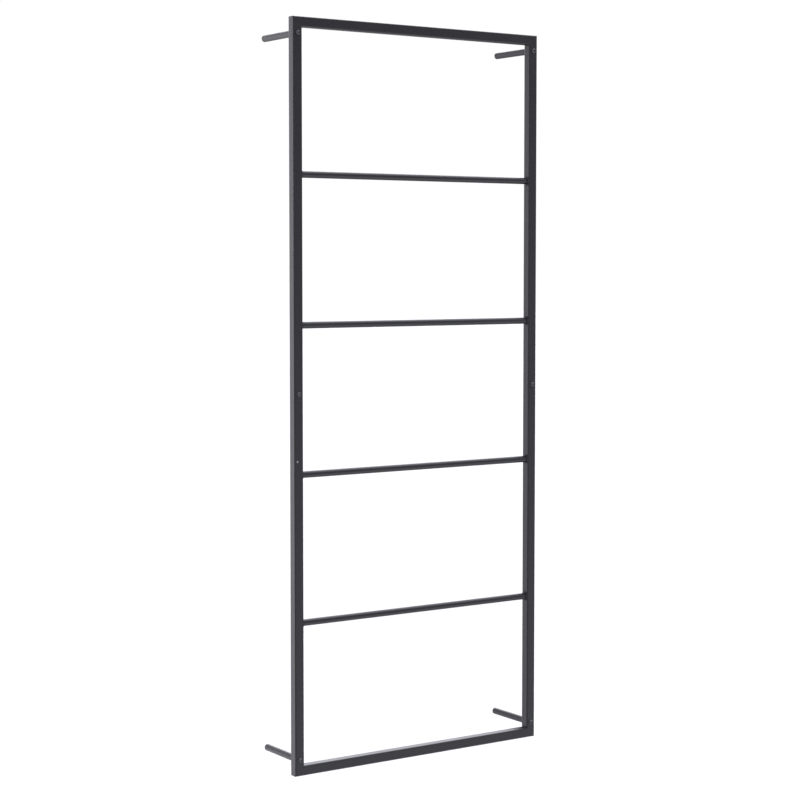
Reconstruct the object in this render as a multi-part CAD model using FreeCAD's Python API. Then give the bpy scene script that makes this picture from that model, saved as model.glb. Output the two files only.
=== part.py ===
import FreeCAD, Part
import math
import os

# Wall-mounted ladder towel rack: a square-tube frame in two halves, four round towel rungs, and
# four round posts that hold the frame off the wall.
#
# Axes: X across the rack, +Y towards the wall, +Z up. The origin is on the wall plane, at the
# centre of the four wall posts. All sizes are in millimetres.

# Frame: two rails and two stiles of one square tube, mitred at the corners
frame_width = 600.0
frame_height = 1500.0
tube_size = 20.0
tube_wall = 1.2
tube_corner_radius = 2.5
smallest_corner_radius = 0.3

# Towel rungs: round tubes between the stiles, at equal steps from rail to rail
rung_count = 4
rung_diameter = 13.5
rung_wall = 1.2

# Wall posts: round bars with a tapped hole in each end
post_length = 110.0
post_diameter = 13.5
post_inset = 32.0           # from the frame's top or bottom to the post's axis
post_wall_chamfer = 1.0
post_frame_chamfer = 0.5
wall_thread_diameter = 8.0  # M8, for a stud in the wall
wall_thread_depth = 20.0
drill_point_angle = 118.0

# Slip joint: each stile is cut square here, and a sleeve inside carries it across the cut
joint_offset = 0.0          # height of the cut above the middle of the frame
sleeve_length = 120.0
sleeve_wall = 1.5
sleeve_clearance = 0.3      # on each side, between the sleeve and the bore of the stile
joint_screw_rise = 12.0     # height of the screw above the cut
joint_screw_tip = 2.3       # length that passes beyond the nut

# Post screws
post_screw_grip = 10.0      # length of thread inside the post
post_thread_runout = 4.0    # spare thread beyond the tip of the screw

# M6 button-head screws with a hexagon socket, and the weld nut
thread_diameter = 6.0
thread_clearance = 0.1      # on the radius, between a shank and its thread
screw_hole_clearance = 0.3  # on the radius, where a shank passes through a wall
screw_tip_chamfer = 0.8
head_diameter = 10.5
head_height = 3.3
head_skirt = 0.6            # upright edge below the dome
head_flat_diameter = 5.8
socket_across_flats = 4.0
socket_depth = 2.0
nut_across_flats = 10.0
nut_height = 5.0

# Planes that several pieces share
half_width = frame_width / 2
half_height = frame_height / 2
frame_back = -post_length
frame_front = frame_back - tube_size
frame_middle = frame_back - tube_size / 2
stile_axis = half_width - tube_size / 2
stile_inner_face = half_width - tube_size
rail_inner_face = half_height - tube_size
post_height = half_height - post_inset
rung_step = (frame_height - tube_size) / (rung_count + 1)
joint_screw_height = joint_offset + joint_screw_rise
screw_hole_radius = thread_diameter / 2 + screw_hole_clearance
post_screw_length = tube_size + post_screw_grip
post_frame_thread_depth = post_screw_grip + post_thread_runout

# The joint screw draws the sleeve against the front wall of the stile
tube_bore = tube_size - 2 * tube_wall
bore_corner_radius = max(tube_corner_radius - tube_wall, smallest_corner_radius)
sleeve_size = tube_bore - 2 * sleeve_clearance
sleeve_corner_radius = bore_corner_radius + sleeve_clearance
sleeve_front = frame_front + tube_wall
nut_seat = sleeve_front + sleeve_wall
joint_screw_length = tube_wall + sleeve_wall + nut_height + joint_screw_tip

SIDES = {"left": -1, "right": 1}
LEVELS = {"upper": 1, "lower": -1}
TO_WALL = FreeCAD.Vector(0, 1, 0)


def square_bar(size, corner_radius, length):
    """Rounded square bar along +Z, centred on the Z axis."""
    bar = Part.makeBox(size, size, length, FreeCAD.Vector(-size / 2, -size / 2, 0))
    long_edges = [edge for edge in bar.Edges if abs(edge.tangentAt(0).z) > 0.5]
    return bar.makeFillet(corner_radius, long_edges)


def square_tube(size, wall, corner_radius, length):
    inner_radius = max(corner_radius - wall, smallest_corner_radius)
    outside = square_bar(size, corner_radius, length)
    return outside.cut(square_bar(size - 2 * wall, inner_radius, length))


def cylinder_to_wall(diameter, length, x, y, z):
    return Part.makeCylinder(diameter / 2, length, FreeCAD.Vector(x, y, z), TO_WALL)


def front_outline_prism(corners):
    """Solid with the given outline seen from the front, as deep as the frame."""
    points = [FreeCAD.Vector(x, frame_front, z) for x, z in corners]
    face = Part.Face(Part.makePolygon(points + [points[0]]))
    return face.extrude(TO_WALL * tube_size)


def hexagon_prism(across_flats, length):
    """Hexagon prism along +Y from the origin, with one corner up and two flats to the sides."""
    corner_distance = across_flats / math.sqrt(3)
    points = []
    for corner in range(7):
        angle = math.radians(60 * corner + 30)
        points.append(FreeCAD.Vector(corner_distance * math.cos(angle), 0, corner_distance * math.sin(angle)))
    return Part.Face(Part.makePolygon(points)).extrude(TO_WALL * length)


def revolved(outline):
    """Solid turned about the Y axis from (radius, distance along Y) edges."""
    return Part.Face(Part.Wire(outline)).revolve(FreeCAD.Vector(0, 0, 0), TO_WALL, 360)


def button_screw(length):
    """Screw along +Y with the seat of its head at the origin."""
    head_radius = head_diameter / 2
    flat_radius = head_flat_diameter / 2
    shank_radius = thread_diameter / 2 - thread_clearance
    # The dome is part of a sphere through the top of the skirt and the edge of the flat
    centre_height = (head_height ** 2 + flat_radius ** 2 - head_skirt ** 2 - head_radius ** 2)
    centre_height = centre_height / (2 * (head_height - head_skirt))
    dome_radius = math.hypot(head_radius, head_skirt - centre_height)
    middle_radius = (head_radius + flat_radius) / 2
    middle_height = centre_height + math.sqrt(dome_radius ** 2 - middle_radius ** 2)

    corners = [
        (0, -head_height),
        (flat_radius, -head_height),
        (head_radius, -head_skirt),
        (head_radius, 0),
        (shank_radius, 0),
        (shank_radius, length - screw_tip_chamfer),
        (shank_radius - screw_tip_chamfer, length),
        (0, length),
    ]
    points = [FreeCAD.Vector(radius, y, 0) for radius, y in corners]
    dome_middle = FreeCAD.Vector(middle_radius, -middle_height, 0)
    outline = [Part.LineSegment(points[0], points[1]).toShape()]
    outline.append(Part.Arc(points[1], dome_middle, points[2]).toShape())
    for start, end in zip(points[2:], points[3:] + points[:1]):
        outline.append(Part.LineSegment(start, end).toShape())
    socket = hexagon_prism(socket_across_flats, socket_depth)
    socket.translate(FreeCAD.Vector(0, -head_height, 0))
    return revolved(outline).cut(socket)


def tapped_hole(diameter, depth):
    """Hole along +Y from the origin, with the cone that a drill leaves at its end."""
    radius = diameter / 2
    point_length = radius / math.tan(math.radians(drill_point_angle / 2))
    hole = Part.makeCylinder(radius, depth, FreeCAD.Vector(0, 0, 0), TO_WALL)
    point = Part.makeCone(radius, 0, point_length, FreeCAD.Vector(0, depth, 0), TO_WALL)
    return hole.fuse(point).removeSplitter()


def rail(level):
    """Horizontal tube across the top or bottom, with both ends cut to the mitre."""
    tube = square_tube(tube_size, tube_wall, tube_corner_radius, frame_width)
    tube.rotate(FreeCAD.Vector(0, 0, 0), FreeCAD.Vector(0, 1, 0), 90)
    tube.translate(FreeCAD.Vector(-half_width, frame_middle, level * (half_height - tube_size / 2)))
    outline = [
        (-half_width, level * half_height),
        (half_width, level * half_height),
        (stile_inner_face, level * rail_inner_face),
        (-stile_inner_face, level * rail_inner_face),
    ]
    return tube.common(front_outline_prism(outline))


def stile(side, level):
    """Upright tube, mitred into its rail and cut square at the slip joint."""
    length = half_height - level * joint_offset
    lowest = min(joint_offset, level * half_height)
    tube = square_tube(tube_size, tube_wall, tube_corner_radius, length)
    tube.translate(FreeCAD.Vector(side * stile_axis, frame_middle, lowest))
    outline = [
        (side * half_width, joint_offset),
        (side * half_width, level * half_height),
        (side * stile_inner_face, level * rail_inner_face),
        (side * stile_inner_face, joint_offset),
    ]
    tube = tube.common(front_outline_prism(outline))
    hole = cylinder_to_wall(2 * screw_hole_radius, tube_size, side * stile_axis, frame_front, level * post_height)
    tube = tube.cut(hole)
    if level == LEVELS["upper"]:
        tube = tube.cut(joint_screw_hole(side))
    return tube


def joint_screw_hole(side):
    """Hole through the front walls of the stile and the sleeve."""
    depth = tube_wall + sleeve_wall
    return cylinder_to_wall(2 * screw_hole_radius, depth, side * stile_axis, frame_front, joint_screw_height)


def rung(number):
    """Towel rung, counted from the top, butted against the stiles' inner faces."""
    length = 2 * stile_inner_face
    height = half_height - tube_size / 2 - number * rung_step
    start = FreeCAD.Vector(-stile_inner_face, frame_middle, height)
    along = FreeCAD.Vector(1, 0, 0)
    outside = Part.makeCylinder(rung_diameter / 2, length, start, along)
    return outside.cut(Part.makeCylinder(rung_diameter / 2 - rung_wall, length, start, along))


def joint_sleeve(side):
    sleeve = square_tube(sleeve_size, sleeve_wall, sleeve_corner_radius, sleeve_length)
    sleeve_y = sleeve_front + sleeve_size / 2
    sleeve.translate(FreeCAD.Vector(side * stile_axis, sleeve_y, joint_offset - sleeve_length / 2))
    return sleeve.cut(joint_screw_hole(side))


def joint_nut(side):
    nut = hexagon_prism(nut_across_flats, nut_height)
    nut = nut.cut(cylinder_to_wall(thread_diameter, nut_height, 0, 0, 0))
    nut.translate(FreeCAD.Vector(side * stile_axis, nut_seat, joint_screw_height))
    return nut


def joint_screw(side):
    screw = button_screw(joint_screw_length)
    screw.translate(FreeCAD.Vector(side * stile_axis, frame_front, joint_screw_height))
    return screw


def post_screw(side, level):
    screw = button_screw(post_screw_length)
    screw.translate(FreeCAD.Vector(side * stile_axis, frame_front, level * post_height))
    return screw


def wall_post(side, level):
    """Round bar from the back of the stile to the wall."""
    radius = post_diameter / 2
    corners = [
        (0, frame_back),
        (radius - post_frame_chamfer, frame_back),
        (radius, frame_back + post_frame_chamfer),
        (radius, -post_wall_chamfer),
        (radius - post_wall_chamfer, 0),
        (0, 0),
    ]
    points = [FreeCAD.Vector(distance, y, 0) for distance, y in corners]
    outline = [Part.LineSegment(a, b).toShape() for a, b in zip(points, points[1:] + points[:1])]
    post = revolved(outline)

    frame_hole = tapped_hole(thread_diameter, post_frame_thread_depth)
    frame_hole.translate(FreeCAD.Vector(0, frame_back, 0))
    wall_hole = tapped_hole(wall_thread_diameter, wall_thread_depth)
    wall_hole.rotate(FreeCAD.Vector(0, 0, 0), FreeCAD.Vector(0, 0, 1), 180)
    post = post.cut(frame_hole).cut(wall_hole)
    post.translate(FreeCAD.Vector(side * stile_axis, 0, level * post_height))
    return post


def build_nodes():
    nodes = {"top_rail": rail(1), "bottom_rail": rail(-1)}
    for level_name, level in LEVELS.items():
        for side_name, side in SIDES.items():
            corner = level_name + "_" + side_name
            nodes[corner + "_stile"] = stile(side, level)
            nodes[corner + "_wall_post"] = wall_post(side, level)
            nodes[corner + "_post_screw"] = post_screw(side, level)
    for number in range(1, rung_count + 1):
        nodes["towel_rung_" + str(number)] = rung(number)
    for side_name, side in SIDES.items():
        nodes[side_name + "_joint_sleeve"] = joint_sleeve(side)
        nodes[side_name + "_joint_nut"] = joint_nut(side)
        nodes[side_name + "_joint_screw"] = joint_screw(side)
    return nodes


os.makedirs("parts", exist_ok=True)
for node_name, solid in build_nodes().items():
    solid.exportStep("parts/" + node_name + ".step")
    print(node_name, "solids", len(solid.Solids), "valid", solid.isValid(), "volume", round(solid.Volume, 1))
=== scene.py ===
import math
import bpy
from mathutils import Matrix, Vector


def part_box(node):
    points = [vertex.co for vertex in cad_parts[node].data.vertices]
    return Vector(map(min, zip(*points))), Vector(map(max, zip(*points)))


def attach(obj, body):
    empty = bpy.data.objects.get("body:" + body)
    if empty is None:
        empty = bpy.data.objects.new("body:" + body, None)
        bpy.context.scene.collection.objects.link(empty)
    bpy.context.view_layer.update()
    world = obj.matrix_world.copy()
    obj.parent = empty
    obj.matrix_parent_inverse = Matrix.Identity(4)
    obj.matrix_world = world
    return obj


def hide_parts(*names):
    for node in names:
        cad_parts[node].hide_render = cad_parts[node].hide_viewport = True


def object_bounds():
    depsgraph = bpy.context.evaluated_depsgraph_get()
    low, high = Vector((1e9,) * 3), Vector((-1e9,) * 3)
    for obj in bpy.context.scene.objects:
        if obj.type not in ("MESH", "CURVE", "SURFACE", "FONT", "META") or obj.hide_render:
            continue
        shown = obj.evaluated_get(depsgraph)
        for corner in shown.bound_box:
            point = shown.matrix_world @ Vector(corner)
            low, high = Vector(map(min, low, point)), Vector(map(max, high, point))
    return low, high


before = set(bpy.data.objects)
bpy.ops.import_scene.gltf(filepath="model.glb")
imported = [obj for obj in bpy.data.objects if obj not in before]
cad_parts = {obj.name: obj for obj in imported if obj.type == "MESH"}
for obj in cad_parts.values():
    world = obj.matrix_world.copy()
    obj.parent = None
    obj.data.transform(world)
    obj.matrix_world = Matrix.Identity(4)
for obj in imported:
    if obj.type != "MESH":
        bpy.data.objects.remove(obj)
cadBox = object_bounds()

mm = 0.001
pointGap = 0.001 * mm      # points this close are the same point
pickGap = 0.01 * mm        # edges this close to a plane or a circle count as on it
lineUp = 0.9               # share of a direction that has to lie along an axis to count as along it
shading = {
    "smoothAngle": 35,         # degrees, sharper edges stay sharp
    "flatWeight": 100,         # keeps flats flat beside round edges
}
sideSigns = {"left": -1, "right": 1}
levelSigns = {"upper": 1, "lower": -1}
print("loaded the frame:", len(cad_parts), "parts")


# Small helpers for working as by hand: one active piece, everything else deselected
def deselectAll():
    if bpy.context.mode != "OBJECT":
        bpy.ops.object.mode_set(mode="OBJECT")
    bpy.ops.object.select_all(action="DESELECT")


def makeActive(piece):
    deselectAll()
    piece.select_set(True)
    bpy.context.view_layer.objects.active = piece


def startPick(piece, kind):
    makeActive(piece)
    bpy.ops.object.mode_set(mode="EDIT")
    bpy.ops.mesh.select_mode(type=kind)
    bpy.ops.mesh.select_all(action="DESELECT")
    bpy.ops.object.mode_set(mode="OBJECT")


def pickVerts(piece, isWanted):
    startPick(piece, "VERT")
    for vert in piece.data.vertices:
        vert.select = isWanted(vert.co)
    bpy.ops.object.mode_set(mode="EDIT")


def pickEdges(piece, isWanted):
    startPick(piece, "EDGE")
    points = [vert.co.copy() for vert in piece.data.vertices]
    for edge in piece.data.edges:
        edge.select = isWanted(points[edge.vertices[0]], points[edge.vertices[1]])
    bpy.ops.object.mode_set(mode="EDIT")


def pickFaces(piece, isWanted):
    startPick(piece, "FACE")
    for face in piece.data.polygons:
        face.select = isWanted(face)
    bpy.ops.object.mode_set(mode="EDIT")


def applyPlace(piece):
    makeActive(piece)
    bpy.ops.object.transform_apply(location=True, rotation=True, scale=True)


def applyModifier(piece, kind, **settings):
    makeActive(piece)
    modifier = piece.modifiers.new(kind.lower(), kind)
    for setting, value in settings.items():
        setattr(modifier, setting, value)
    bpy.ops.object.modifier_apply(modifier=modifier.name)


def cutAway(piece, cutter):
    applyModifier(piece, "BOOLEAN", operation="DIFFERENCE", solver="EXACT", object=cutter)
    bpy.data.objects.remove(cutter)


def closeMesh(piece):
    pickFaces(piece, lambda face: True)
    bpy.ops.mesh.remove_doubles(threshold=pointGap)
    bpy.ops.mesh.normals_make_consistent(inside=False)
    bpy.ops.object.mode_set(mode="OBJECT")


def nameIt(piece, name):
    piece.name = name
    piece.data.name = name
    return piece


def copyPiece(source, name, move):
    makeActive(source)
    bpy.ops.object.duplicate(linked=False)
    copied = nameIt(bpy.context.object, name)
    bpy.ops.transform.translate(value=move)
    applyPlace(copied)
    return copied


def middleOf(node):
    low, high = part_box(node)
    return (low + high) / 2


def finishPiece(piece, materials, slotName, *nodes):
    makeActive(piece)
    bpy.ops.object.shade_smooth_by_angle(angle=math.radians(shading["smoothAngle"]))
    applyModifier(piece, "WEIGHTED_NORMAL", keep_sharp=True, weight=shading["flatWeight"])
    for material in materials:
        if material.name not in piece.data.materials:
            piece.data.materials.append(material)
    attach(piece, "root")
    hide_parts(*nodes)


# Materials
def fromHex(text):
    def toLinear(value):
        return value / 12.92 if value <= 0.04045 else ((value + 0.055) / 1.055) ** 2.4
    return tuple(toLinear(int(text[i:i + 2], 16) / 255) for i in (1, 3, 5)) + (1.0,)


def addNode(tree, kind, settings, inputs):
    # A socket given as an input is linked, and any other value is set on it
    node = tree.nodes.new(kind)
    for setting, value in settings.items():
        setattr(node, setting, value)
    for name, value in inputs.items():
        if isinstance(value, bpy.types.NodeSocket):
            tree.links.new(value, node.inputs[name])
        else:
            node.inputs[name].default_value = value
    return node


def newMaterial(name, **uniform):
    material = bpy.data.materials.new(name)
    material.use_nodes = True
    shader = material.node_tree.nodes["Principled BSDF"]
    for socket, value in uniform.items():
        shader.inputs[socket.replace("_", " ")].default_value = value
    return material, material.node_tree, shader


powderCoat = {
    "colour": "#1b1b1e",
    "paler": "#202024",
    "roughness": (0.29, 0.35),
    "peelWave": 3.0 * mm,      # real orange peel is 1 to 2 mm, drawn coarser so that it shows
    "peelDepth": 0.045 * mm,
    "gritWave": 0.9 * mm,      # the matting grain is finer than 0.1 mm, drawn coarser so that it shows
    "gritShare": 0.25,         # height of the grain against the peel
    "patchWave": 60 * mm,      # slow change of the film along a tube
    "patchRange": (0.3, 0.7),  # noise values that stand for the thinnest and the thickest film
    "chipPlace": (-293.7 * mm, -130 * mm, -121 * mm),
    "chipSize": 1.9 * mm,
    "chipRag": 1.2 * mm,       # how far the broken edge of the coat wanders
    "chipRagScale": 900.0,     # waves of that edge in a metre
    "chipEdge": (0.8 * mm, 0.4 * mm),   # past the size: coat whole at the first, gone at the second
    "bareSteel": "#a9a8a6",
}


def makePowderCoat(name, chipped):
    # Polyester powder coat, sprayed on steel and baked: satin black, faintly blue, with a soft
    # orange peel that breaks up reflections and a gloss that wanders a little along each tube
    material, tree, shader = newMaterial(name, IOR=1.5)
    coords = addNode(tree, "ShaderNodeTexCoord", {}, {}).outputs["Object"]
    patches = addNode(tree, "ShaderNodeTexNoise", {}, {
        "Vector": coords, "Scale": 1 / powderCoat["patchWave"], "Detail": 3.0}).outputs["Fac"]
    peel = addNode(tree, "ShaderNodeTexNoise", {}, {
        "Vector": coords, "Scale": 1 / powderCoat["peelWave"],
        "Detail": 2.0, "Roughness": 0.4}).outputs["Fac"]
    grit = addNode(tree, "ShaderNodeTexNoise", {}, {
        "Vector": coords, "Scale": 1 / powderCoat["gritWave"], "Detail": 1.0}).outputs["Fac"]
    colour = addNode(tree, "ShaderNodeMix", {"data_type": "RGBA"}, {
        "Factor": patches, "A": fromHex(powderCoat["colour"]), "B": fromHex(powderCoat["paler"])})
    gloss = addNode(tree, "ShaderNodeMapRange", {}, {
        "Value": patches, "From Min": powderCoat["patchRange"][0], "From Max": powderCoat["patchRange"][1],
        "To Min": powderCoat["roughness"][0], "To Max": powderCoat["roughness"][1]}).outputs["Result"]
    height = addNode(tree, "ShaderNodeMath", {"operation": "MULTIPLY_ADD"}, {
        0: grit, 1: powderCoat["gritShare"], 2: peel}).outputs[0]
    bump = addNode(tree, "ShaderNodeBump", {}, {
        "Height": height, "Strength": 1.0, "Distance": powderCoat["peelDepth"]})
    tree.links.new(bump.outputs["Normal"], shader.inputs["Normal"])
    surface = colour.outputs[2]
    if chipped:
        # One chip where the coat has been knocked off and bare steel shows
        edge = addNode(tree, "ShaderNodeTexNoise", {}, {
            "Vector": coords, "Scale": powderCoat["chipRagScale"], "Detail": 2.0})
        away = addNode(tree, "ShaderNodeVectorMath", {"operation": "DISTANCE"}, {
            0: coords, 1: powderCoat["chipPlace"]}).outputs["Value"]
        ragged = addNode(tree, "ShaderNodeMath", {"operation": "MULTIPLY_ADD"}, {
            0: edge.outputs["Fac"], 1: powderCoat["chipRag"], 2: away}).outputs[0]
        bare = addNode(tree, "ShaderNodeMapRange", {}, {
            "Value": ragged, "From Min": powderCoat["chipSize"] + powderCoat["chipEdge"][0],
            "From Max": powderCoat["chipSize"] + powderCoat["chipEdge"][1]}).outputs["Result"]
        mixed = addNode(tree, "ShaderNodeMix", {"data_type": "RGBA"}, {
            "Factor": bare, "A": surface, "B": fromHex(powderCoat["bareSteel"])})
        surface = mixed.outputs[2]
        tree.links.new(bare, shader.inputs["Metallic"])
    tree.links.new(surface, shader.inputs["Base Color"])
    tree.links.new(gloss, shader.inputs["Roughness"])
    return material


blackZinc = {
    "colour": "#6c6c70",
    "darker": "#5c5c60",
    "roughness": 0.42,
    "grainWave": 1.2 * mm,
    "grainDepth": 0.01 * mm,
}


def makeBlackZinc():
    # Black zinc-plated steel of a socket screw: a dark metal with a soft sheen that catches the
    # light on its dome, and a slightly uneven plating
    material, tree, shader = newMaterial(
        "blackZincPlatedSteel", Metallic=1.0, Roughness=blackZinc["roughness"])
    coords = addNode(tree, "ShaderNodeTexCoord", {}, {}).outputs["Object"]
    grain = addNode(tree, "ShaderNodeTexNoise", {}, {
        "Vector": coords, "Scale": 1 / blackZinc["grainWave"], "Detail": 3.0}).outputs["Fac"]
    colour = addNode(tree, "ShaderNodeMix", {"data_type": "RGBA"}, {
        "Factor": grain, "A": fromHex(blackZinc["darker"]), "B": fromHex(blackZinc["colour"])})
    bump = addNode(tree, "ShaderNodeBump", {}, {
        "Height": grain, "Strength": 0.5, "Distance": blackZinc["grainDepth"]})
    tree.links.new(colour.outputs[2], shader.inputs["Base Color"])
    tree.links.new(bump.outputs["Normal"], shader.inputs["Normal"])
    return material


brightZinc = {"colour": "#bfc3c8", "darker": "#a4a8ad", "roughness": (0.28, 0.42), "spangleWave": 3.5 * mm}


def makeBrightZinc():
    # Bright zinc-plated steel of the hidden sleeves and nuts: pale, bluish and lightly clouded
    material, tree, shader = newMaterial("brightZincPlatedSteel", Metallic=1.0)
    coords = addNode(tree, "ShaderNodeTexCoord", {}, {}).outputs["Object"]
    spangle = addNode(tree, "ShaderNodeTexNoise", {}, {
        "Vector": coords, "Scale": 1 / brightZinc["spangleWave"], "Detail": 4.0}).outputs["Fac"]
    colour = addNode(tree, "ShaderNodeMix", {"data_type": "RGBA"}, {
        "Factor": spangle, "A": fromHex(brightZinc["darker"]), "B": fromHex(brightZinc["colour"])})
    gloss = addNode(tree, "ShaderNodeMapRange", {}, {
        "Value": spangle, "To Min": brightZinc["roughness"][0], "To Max": brightZinc["roughness"][1]})
    tree.links.new(colour.outputs[2], shader.inputs["Base Color"])
    tree.links.new(gloss.outputs["Result"], shader.inputs["Roughness"])
    return material


cutSteel = {
    "colour": "#8d8b88",
    "darker": "#6f6d6a",
    "roughness": 0.38,
    "toolMarkPitch": 0.4 * mm,
    "waveLength": 0.314,       # a wave texture of scale 1 repeats at this length
}


def makeCutSteel():
    # Mild steel left bare where the thread was cut: grey metal with fine rings from the tap,
    # real ones are near 0.05 mm and are drawn coarser so that they show
    material, tree, shader = newMaterial("cutMildSteel", Metallic=1.0, Roughness=cutSteel["roughness"])
    coords = addNode(tree, "ShaderNodeTexCoord", {}, {}).outputs["Object"]
    rings = addNode(tree, "ShaderNodeTexWave", {"bands_direction": "Y"}, {
        "Vector": coords, "Scale": cutSteel["waveLength"] / cutSteel["toolMarkPitch"],
        "Distortion": 1.0}).outputs["Fac"]
    colour = addNode(tree, "ShaderNodeMix", {"data_type": "RGBA"}, {
        "Factor": rings, "A": fromHex(cutSteel["darker"]), "B": fromHex(cutSteel["colour"])})
    tree.links.new(colour.outputs[2], shader.inputs["Base Color"])
    return material


satinBlack = makePowderCoat("satinBlackPowderCoat", False)
satinBlackChipped = makePowderCoat("satinBlackPowderCoatChipped", True)
blackPlate = makeBlackZinc()
zincPlate = makeBrightZinc()
bareThread = makeCutSteel()
print("made the materials")


# Frame: square tube with a real wall, mitred at the corners and cut square at the slip joint
tube = {
    "wall": 1.2 * mm,
    "cornerRadius": 2.5 * mm,
    "cornerSteps": 6,
    "spare": 12 * mm,          # extra length that the cuts take off
    "cutEdge": 0.45 * mm,      # rounding where the coat wraps the square cut
    "cutEdgeSteps": 3,
    "boreGap": 0.05 * mm,      # edges this far outside the bore are the tube's outer ones
    "screwHole": 6.6 * mm,     # across
    "holeSides": 32,
    "drillSpare": 1 * mm,      # how far the drill starts and stops outside the metal
}
frameLow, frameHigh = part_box("top_rail")
halfWidth, halfHeight = frameHigh.x, frameHigh.z
frameFront, frameBack = frameLow.y, frameHigh.y
tubeSize = frameHigh.z - frameLow.z
stileX = halfWidth - tubeSize / 2
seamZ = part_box("upper_left_stile")[0].z
postZ = middleOf("upper_left_wall_post").z
jointScrewZ = middleOf("left_joint_screw").z


def drillThrough(piece, x, z, thickness):
    depth = thickness + 2 * tube["drillSpare"]
    deselectAll()
    bpy.ops.mesh.primitive_cylinder_add(
        vertices=tube["holeSides"], radius=tube["screwHole"] / 2, depth=depth,
        location=(x, frameFront - tube["drillSpare"] + depth / 2, z), rotation=(math.radians(90), 0, 0))
    cutAway(piece, bpy.context.object)


def squareTube(name, node, cuts):
    low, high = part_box(node)
    span = high - low
    along = max(range(3), key=lambda axis: span[axis])
    span[along] += 2 * tube["spare"]
    deselectAll()
    bpy.ops.mesh.primitive_cube_add(size=1, location=(low + high) / 2, scale=span)
    piece = nameIt(bpy.context.object, name)
    applyPlace(piece)
    pickEdges(piece, lambda a, b: abs((b - a).normalized()[along]) > lineUp)
    bpy.ops.mesh.bevel(offset=tube["cornerRadius"], segments=tube["cornerSteps"], affect="EDGES")
    pickFaces(piece, lambda face: abs(face.normal[along]) > lineUp)
    bpy.ops.mesh.delete(type="ONLY_FACE")
    applyModifier(piece, "SOLIDIFY", thickness=tube["wall"], offset=-1, use_even_offset=True, use_rim=False)
    for place, outwards in cuts:
        pickFaces(piece, lambda face: True)
        bpy.ops.mesh.bisect(plane_co=place, plane_no=outwards, clear_outer=True)
        bpy.ops.mesh.bridge_edge_loops()
    closeMesh(piece)
    return piece


def mitre(side, level, forRail):
    way = 1 if forRail else -1
    return (side * halfWidth, 0, level * halfHeight), (way * side, 0, -way * level)


def roundSeamEdge(stile, side):
    # The square cut has a rounded outer edge, so the seam reads as a fine groove
    outsideBore = tubeSize / 2 - tube["wall"] + tube["boreGap"]
    middleY = (frameFront + frameBack) / 2

    def isOuterCutEdge(a, b):
        onCut = abs(a.z - seamZ) < pickGap and abs(b.z - seamZ) < pickGap
        centre = (a + b) / 2
        return onCut and max(abs(centre.x - side * stileX), abs(centre.y - middleY)) > outsideBore

    pickEdges(stile, isOuterCutEdge)
    bpy.ops.mesh.bevel(offset=tube["cutEdge"], segments=tube["cutEdgeSteps"], affect="EDGES")


for levelName, level in (("top", 1), ("bottom", -1)):
    mitres = [mitre(-1, level, True), mitre(1, level, True)]
    rail = squareTube(levelName + "Rail", levelName + "_rail", mitres)
    finishPiece(rail, [satinBlack], "powder_coated_steel", levelName + "_rail")

for levelName, level in levelSigns.items():
    for sideName, side in sideSigns.items():
        node = levelName + "_" + sideName + "_stile"
        seam = (0, 0, seamZ), (0, 0, -level)
        name = levelName + sideName.capitalize() + "Stile"
        stile = squareTube(name, node, [mitre(side, level, False), seam])
        roundSeamEdge(stile, side)
        drillThrough(stile, side * stileX, level * postZ, tubeSize)
        if levelName == "upper":
            drillThrough(stile, side * stileX, jointScrewZ, tube["wall"])
        closeMesh(stile)
        chipped = levelName == "lower" and sideName == "left"
        finishPiece(stile, [satinBlackChipped if chipped else satinBlack], "powder_coated_steel", node)
print("built the frame tubes")


# Towel rungs: round tube with a real wall, butted between the stiles
rung = {"count": 4, "sides": 64, "wall": 1.2 * mm, "endEdge": 0.2 * mm, "endEdgeSteps": 2}
rungLow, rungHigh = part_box("towel_rung_1")
rungLength = rungHigh.x - rungLow.x
rungRadius = (rungHigh.z - rungLow.z) / 2
rungMiddle = middleOf("towel_rung_1")
outerSide = 2 * rungRadius * math.sin(math.pi / rung["sides"])
deselectAll()
bpy.ops.mesh.primitive_cylinder_add(
    vertices=rung["sides"], radius=rungRadius, depth=rungLength, end_fill_type="NOTHING",
    location=rungMiddle, rotation=(0, math.radians(90), 0))
firstRung = nameIt(bpy.context.object, "towelRung1")
applyPlace(firstRung)
applyModifier(firstRung, "SOLIDIFY", thickness=rung["wall"], offset=-1, use_even_offset=True)


def isOuterEndEdge(a, b):
    atEnd = abs(abs(a.x) - rungHigh.x) < pickGap and abs(abs(b.x) - rungHigh.x) < pickGap
    return atEnd and abs((a - b).length - outerSide) < pickGap


pickEdges(firstRung, isOuterEndEdge)
bpy.ops.mesh.bevel(offset=rung["endEdge"], segments=rung["endEdgeSteps"], affect="EDGES")
closeMesh(firstRung)
rungs = [firstRung]
for number in range(2, rung["count"] + 1):
    move = middleOf("towel_rung_" + str(number)) - rungMiddle
    rungs.append(copyPiece(firstRung, "towelRung" + str(number), move))
for number, piece in enumerate(rungs, 1):
    finishPiece(piece, [satinBlack], "powder_coated_steel", "towel_rung_" + str(number))
print("built the towel rungs")


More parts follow.
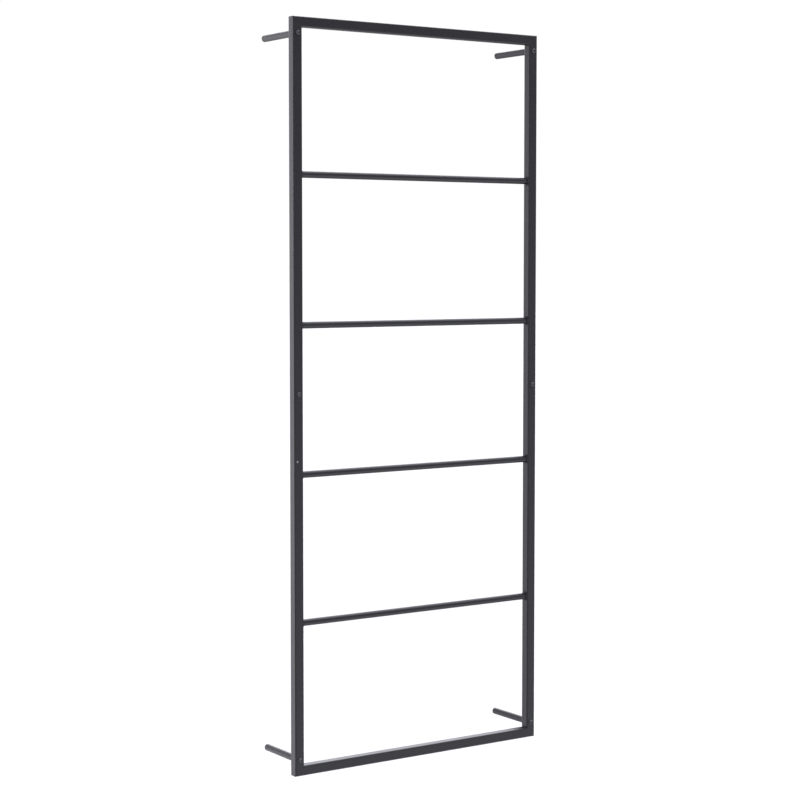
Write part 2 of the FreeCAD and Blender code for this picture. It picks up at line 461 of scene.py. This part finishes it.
# Weld beads round the rung ends: a rippled ring in each corner, under the powder coat
bead = {
    "ringRadius": 7.4 * mm,    # radius of the bead's middle line
    "halfThickness": 1.95 * mm,
    "sides": 14,
    "standOff": 0.75 * mm,     # middle line to the stile's face
    "ripples": 22,             # one about every 2.1 mm, a common pace of a hand weld
    "stepsPerRipple": 4,
    "rippleDepth": 0.15 * mm,
    "crestShare": 0.5,         # height of a crest against the depth of a dip
    "overlapBump": 0.3 * mm,   # where the weld ends over its own start
    "overlapAngle": -115,      # degrees round the rung
    "overlapReach": 16,        # degrees to either side
}
deselectAll()
bpy.ops.mesh.primitive_torus_add(
    major_radius=bead["ringRadius"], minor_radius=bead["halfThickness"],
    major_segments=bead["ripples"] * bead["stepsPerRipple"], minor_segments=bead["sides"])
firstBead = nameIt(bpy.context.object, "rungWeld1Left")


def angleOf(co):
    return math.degrees(math.atan2(co.y, co.x))


def rippleStep(co):
    turn = (angleOf(co) % 360) / 360 * bead["ripples"] * bead["stepsPerRipple"]
    return round(turn) % bead["stepsPerRipple"]


pickVerts(firstBead, lambda co: rippleStep(co) == 0)
bpy.ops.transform.shrink_fatten(value=-bead["rippleDepth"])
pickVerts(firstBead, lambda co: rippleStep(co) == bead["stepsPerRipple"] // 2)
bpy.ops.transform.shrink_fatten(value=bead["rippleDepth"] * bead["crestShare"])
pickVerts(firstBead, lambda co: abs(angleOf(co) - bead["overlapAngle"]) < bead["overlapReach"])
bpy.ops.transform.shrink_fatten(value=bead["overlapBump"])
deselectAll()
firstBead.rotation_euler = (0, math.radians(90), 0)
firstBead.location = (rungLow.x + bead["standOff"], rungMiddle.y, rungMiddle.z)
applyPlace(firstBead)
closeMesh(firstBead)
beads = []
for number in range(1, rung["count"] + 1):
    height = middleOf("towel_rung_" + str(number)).z - rungMiddle.z
    for sideName, reach in (("Left", 0), ("Right", rungLength - 2 * bead["standOff"])):
        if number == 1 and sideName == "Left":
            beads.append(firstBead)
        else:
            beads.append(copyPiece(firstBead, "rungWeld" + str(number) + sideName, (reach, 0, height)))
for piece in beads:
    finishPiece(piece, [satinBlack], "powder_coated_steel")
print("built the weld beads")


# Turned pieces: a ring is drawn out step by step along Z, then both ends are closed
def turnedPiece(name, outline, sides, startTip, endTip):
    deselectAll()
    radius, height = outline[0]
    bpy.ops.mesh.primitive_circle_add(vertices=sides, radius=radius, location=(0, 0, height))
    piece = nameIt(bpy.context.object, name)
    applyPlace(piece)
    pickVerts(piece, lambda co: True)
    for newRadius, newHeight in outline[1:]:
        bpy.ops.mesh.extrude_region_move(TRANSFORM_OT_translate={"value": (0, 0, newHeight - height)})
        scale = newRadius / radius
        bpy.ops.transform.resize(value=(scale, scale, 1), center_override=(0, 0, 0))
        radius, height = newRadius, newHeight
    closeTip(height, endTip)
    radius, height = outline[0]
    pickVerts(piece, lambda co: abs(co.z - height) < pointGap and abs(co.xy.length - radius) < pointGap)
    closeTip(height, startTip)
    closeMesh(piece)
    return piece


def closeTip(height, tip):
    bpy.ops.mesh.extrude_region_move(TRANSFORM_OT_translate={"value": (0, 0, tip - height)})
    bpy.ops.mesh.merge(type="CENTER")


def faceTheWall(piece, place):
    piece.rotation_euler = (math.radians(-90), 0, 0)
    piece.location = place
    applyPlace(piece)


def copyToCorners(firstPiece, ending):
    # The piece at the upper left is copied to the other three corners
    pieces = {"upper_left": firstPiece}
    for corner, side, level in (("upper_right", 1, 1), ("lower_left", -1, -1), ("lower_right", 1, -1)):
        levelName, sideName = corner.split("_")
        move = ((side + 1) * stileX, 0, (level - 1) * postZ)
        pieces[corner] = copyPiece(firstPiece, levelName + sideName.capitalize() + ending, move)
    return pieces


# Wall posts: round bar with a chamfer at each end, an M6 thread at the frame and an M8 one at the wall
post = {
    "sides": 64,
    "wallChamfer": 1.0 * mm,
    "frameChamfer": 0.5 * mm,
    "frameHole": 3.0 * mm,     # radius
    "frameHoleDepth": 14 * mm,
    "threadRoot": 4.0 * mm,    # M8 x 1.25: root and crest radii of the nut thread
    "threadCrest": 3.4 * mm,
    "threadPitch": 1.25 * mm,
    "flankShare": 0.38,        # shares of the pitch: each slope, and the flat between two grooves
    "flatShare": 0.14,
    "threadDepth": 20 * mm,
    "countersink": 0.45 * mm,
    "drillPoint": 118,         # degrees
}
postLow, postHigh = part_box("upper_left_wall_post")
postRadius = (postHigh.x - postLow.x) / 2
postLength = postHigh.y - postLow.y
coneShare = 1 / math.tan(math.radians(post["drillPoint"] / 2))
outline = [
    (post["frameHole"], post["frameHoleDepth"]),
    (post["frameHole"], 0),
    (postRadius - post["frameChamfer"], 0),
    (postRadius, post["frameChamfer"]),
    (postRadius, postLength / 2),
    (postRadius, postLength - post["wallChamfer"]),
    (postRadius - post["wallChamfer"], postLength),
    (post["threadRoot"] + post["countersink"], postLength),
    (post["threadRoot"], postLength - post["countersink"]),
]
depth = post["countersink"]
flank = post["threadPitch"] * post["flankShare"]
flat = post["threadPitch"] * post["flatShare"]
while depth + post["threadPitch"] < post["threadDepth"]:
    outline.append((post["threadCrest"], postLength - depth - flank))
    outline.append((post["threadCrest"], postLength - depth - flank - flat))
    outline.append((post["threadRoot"], postLength - depth - 2 * flank - flat))
    outline.append((post["threadRoot"], postLength - depth - post["threadPitch"]))
    depth += post["threadPitch"]
outline.append((post["threadCrest"], postLength - post["threadDepth"]))
firstPost = turnedPiece(
    "upperLeftWallPost", outline, post["sides"],
    post["frameHoleDepth"] + post["frameHole"] * coneShare,
    postLength - post["threadDepth"] - post["threadCrest"] * coneShare)
faceTheWall(firstPost, (-stileX, frameBack, postZ))
for corner, piece in copyToCorners(firstPost, "WallPost").items():
    finishPiece(piece, [satinBlack, bareThread], "powder_coated_steel", corner + "_wall_post")
    # The thread was cut after coating, so everything inside its mouth is bare
    centre = middleOf(corner + "_wall_post")
    for face in piece.data.polygons:
        offset = Vector((face.center.x - centre.x, face.center.z - centre.z)).length
        if offset < post["threadRoot"] + post["countersink"]:
            face.material_index = 1
print("built the wall posts")


# Button-head screws: domed head with a hexagon socket
screw = {
    "sides": 48,
    "headRadius": 5.25 * mm,
    "headHeight": 3.3 * mm,
    "skirt": 0.6 * mm,
    "rimEdge": 0.15 * mm,
    "flatRadius": 2.9 * mm,
    "shankRadius": 2.9 * mm,
    "tipChamfer": 0.8 * mm,
    "socketAcrossFlats": 4.0 * mm,
    "socketDepth": 2.0 * mm,
    "socketEdge": 0.15 * mm,
    "punchSpare": 1 * mm,      # how far the punch stands out of the head
    "punchPoint": 0.6 * mm,
    "punchTipShare": 0.3,      # width of its blunt tip against the socket
    "domeSteps": 8,
}


def buttonScrew(name, length):
    # The dome is part of a sphere through the top of the skirt and the edge of the flat
    highSquare = screw["headHeight"] ** 2 + screw["flatRadius"] ** 2
    lowSquare = screw["skirt"] ** 2 + screw["headRadius"] ** 2
    centre = (highSquare - lowSquare) / (2 * (screw["headHeight"] - screw["skirt"]))
    domeRadius = math.hypot(screw["headRadius"], screw["skirt"] - centre)
    start = math.atan2(screw["skirt"] - centre, screw["headRadius"])
    end = math.atan2(screw["headHeight"] - centre, screw["flatRadius"])
    outline = [(screw["shankRadius"] - screw["tipChamfer"], length)]
    outline.append((screw["shankRadius"], length - screw["tipChamfer"]))
    outline.append((screw["shankRadius"], 0))
    outline.append((screw["headRadius"] - screw["rimEdge"], 0))
    outline.append((screw["headRadius"], -screw["rimEdge"]))
    for step in range(screw["domeSteps"] + 1):
        angle = start + (end - start) * step / screw["domeSteps"]
        outline.append((domeRadius * math.cos(angle), -centre - domeRadius * math.sin(angle)))
    piece = turnedPiece(name, outline, screw["sides"], length, -screw["headHeight"])
    # A hexagon punch with a blunt point leaves the socket
    corner = screw["socketAcrossFlats"] / math.sqrt(3)
    top = -screw["headHeight"]
    deselectAll()
    bpy.ops.mesh.primitive_cylinder_add(
        vertices=6, radius=corner, depth=screw["socketDepth"] + screw["punchSpare"],
        location=(0, 0, top + (screw["socketDepth"] - screw["punchSpare"]) / 2))
    punch = bpy.context.object
    applyPlace(punch)
    pickFaces(punch, lambda face: face.normal.z > lineUp)
    bpy.ops.mesh.extrude_region_move(TRANSFORM_OT_translate={"value": (0, 0, screw["punchPoint"])})
    bpy.ops.transform.resize(
        value=(screw["punchTipShare"], screw["punchTipShare"], 1), center_override=(0, 0, 0))
    bpy.ops.object.mode_set(mode="OBJECT")
    cutAway(piece, punch)
    # The edge of the socket is slightly broken
    halfFlats = screw["socketAcrossFlats"] / 2

    def isSocketEdge(a, b):
        onTop = abs(a.z - top) < pointGap and abs(b.z - top) < pointGap
        return onTop and all(halfFlats - pickGap < end.xy.length < corner + pickGap for end in (a, b))

    pickEdges(piece, isSocketEdge)
    bpy.ops.mesh.bevel(offset=screw["socketEdge"], segments=1, affect="EDGES")
    closeMesh(piece)
    return piece


firstPostScrew = buttonScrew("upperLeftPostScrew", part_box("upper_left_post_screw")[1].y - frameFront)
faceTheWall(firstPostScrew, (-stileX, frameFront, postZ))
for corner, piece in copyToCorners(firstPostScrew, "PostScrew").items():
    finishPiece(piece, [blackPlate], "black_screw_steel", corner + "_post_screw")

leftJointScrew = buttonScrew("leftJointScrew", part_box("left_joint_screw")[1].y - frameFront)
faceTheWall(leftJointScrew, (-stileX, frameFront, jointScrewZ))
rightJointScrew = copyPiece(leftJointScrew, "rightJointScrew", (2 * stileX, 0, 0))
finishPiece(leftJointScrew, [blackPlate], "black_screw_steel", "left_joint_screw")
finishPiece(rightJointScrew, [blackPlate], "black_screw_steel", "right_joint_screw")
print("built the screws")


# The sleeves and nuts inside the stiles keep their CAD shapes
for sideName in sideSigns:
    for node in (sideName + "_joint_sleeve", sideName + "_joint_nut"):
        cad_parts[node].data.materials.clear()
        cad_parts[node].data.materials.append(zincPlate)


# Floor, light and camera
studio = {
    "floorDrop": 0.30,         # metres below the rack's lowest point
    "floorSize": 80,
    "floorColour": "#e4e4e2",
    "floorRoughness": 0.9,
    "floorLight": 0.5,         # soft and from straight above, mostly for the floor
    "floorLightSpread": 90,    # degrees
    "floorLightHeight": 3,
    "lightColour": "#f6f6ff",
    "backdropColour": "#ffffff",
    "backdrop": 1.02,
    "ambient": 0.15,
}
# Soft light round the rack. Each turn is clockwise from straight behind it, seen from above.
softLights = {
    "leftBank": {"turn": -9, "rise": -3, "focus": 9, "strength": 3.9},
    "backdropGlow": {"turn": 34, "rise": 27, "focus": 20, "strength": 2.7},
    "topGlow": {"turn": 82, "rise": 60, "focus": 4, "strength": 2.9},
    "rightGlow": {"turn": 124, "rise": 0, "focus": 16, "strength": 0.35},
    "lowFront": {"turn": 152, "rise": -39, "focus": 5, "strength": 1.5},
    "floorGlow": {"turn": 80, "rise": -60, "focus": 5, "strength": 0.6},
    "frontFill": {"turn": 234, "rise": 8, "focus": 2, "strength": 0.75},
}
deselectAll()
bpy.ops.mesh.primitive_plane_add(
    size=studio["floorSize"], location=(0, 0, cadBox[0].z - studio["floorDrop"]))
floor = nameIt(bpy.context.object, "floor")
floor.visible_glossy = False
# A pale matt paint, plain enough to leave the rack alone
floorPaint = newMaterial(
    "paleMattFloor", Base_Color=fromHex(studio["floorColour"]), Roughness=studio["floorRoughness"])[0]
floor.data.materials.append(floorPaint)
bpy.ops.object.light_add(type="SUN", location=(0, 0, studio["floorLightHeight"]))
floorLamp = bpy.context.object
floorLamp.name = "floorLight"
floorLamp.data.energy = studio["floorLight"]
floorLamp.data.angle = math.radians(studio["floorLightSpread"])
floorLamp.visible_glossy = False

world = bpy.data.worlds.new("softStudio")
bpy.context.scene.world = world
world.use_nodes = True
worldTree = world.node_tree
worldTree.nodes.clear()
outlook = addNode(worldTree, "ShaderNodeTexCoord", {}, {}).outputs["Generated"]
total = studio["ambient"]
for light in softLights.values():
    turn, rise = math.radians(light["turn"]), math.radians(light["rise"])
    middle = (math.sin(turn) * math.cos(rise), math.cos(turn) * math.cos(rise), math.sin(rise))
    near = addNode(worldTree, "ShaderNodeVectorMath", {"operation": "DOT_PRODUCT"}, {0: outlook, 1: middle})
    facing = addNode(worldTree, "ShaderNodeMath", {"operation": "MAXIMUM"}, {
        0: near.outputs["Value"], 1: 0.0})
    glow = addNode(worldTree, "ShaderNodeMath", {"operation": "POWER"}, {
        0: facing.outputs[0], 1: float(light["focus"])}).outputs[0]
    total = addNode(worldTree, "ShaderNodeMath", {"operation": "MULTIPLY_ADD"}, {
        0: glow, 1: light["strength"], 2: total}).outputs[0]
around = addNode(worldTree, "ShaderNodeBackground", {}, {
    "Color": fromHex(studio["lightColour"]), "Strength": total})
behind = addNode(worldTree, "ShaderNodeBackground", {}, {
    "Color": fromHex(studio["backdropColour"]), "Strength": studio["backdrop"]})
lightPath = addNode(worldTree, "ShaderNodeLightPath", {}, {})
shown = addNode(worldTree, "ShaderNodeMixShader", {}, {
    "Fac": lightPath.outputs["Is Camera Ray"], 1: around.outputs[0], 2: behind.outputs[0]})
addNode(worldTree, "ShaderNodeOutputWorld", {}, {"Surface": shown.outputs[0]})

view = {
    "place": (-2.2522, -3.3950, 0.2697),
    "turn": 33.997,            # degrees to the right of straight ahead
    "tilt": -3.503,            # degrees up from level
    "lens": 87.21,
    "sensorWidth": 36,
    "shiftUp": -0.0225,
    "farEnd": 200,
}
deselectAll()
bpy.ops.object.camera_add(
    location=view["place"], rotation=(math.radians(90 + view["tilt"]), 0, math.radians(-view["turn"])))
camera = bpy.context.object
camera.data.lens = view["lens"]
camera.data.sensor_width = view["sensorWidth"]
camera.data.shift_y = view["shiftUp"]
camera.data.clip_end = view["farEnd"]
bpy.context.scene.camera = camera
bpy.context.scene.view_settings.view_transform = "Standard"
print("set the floor, light and camera")
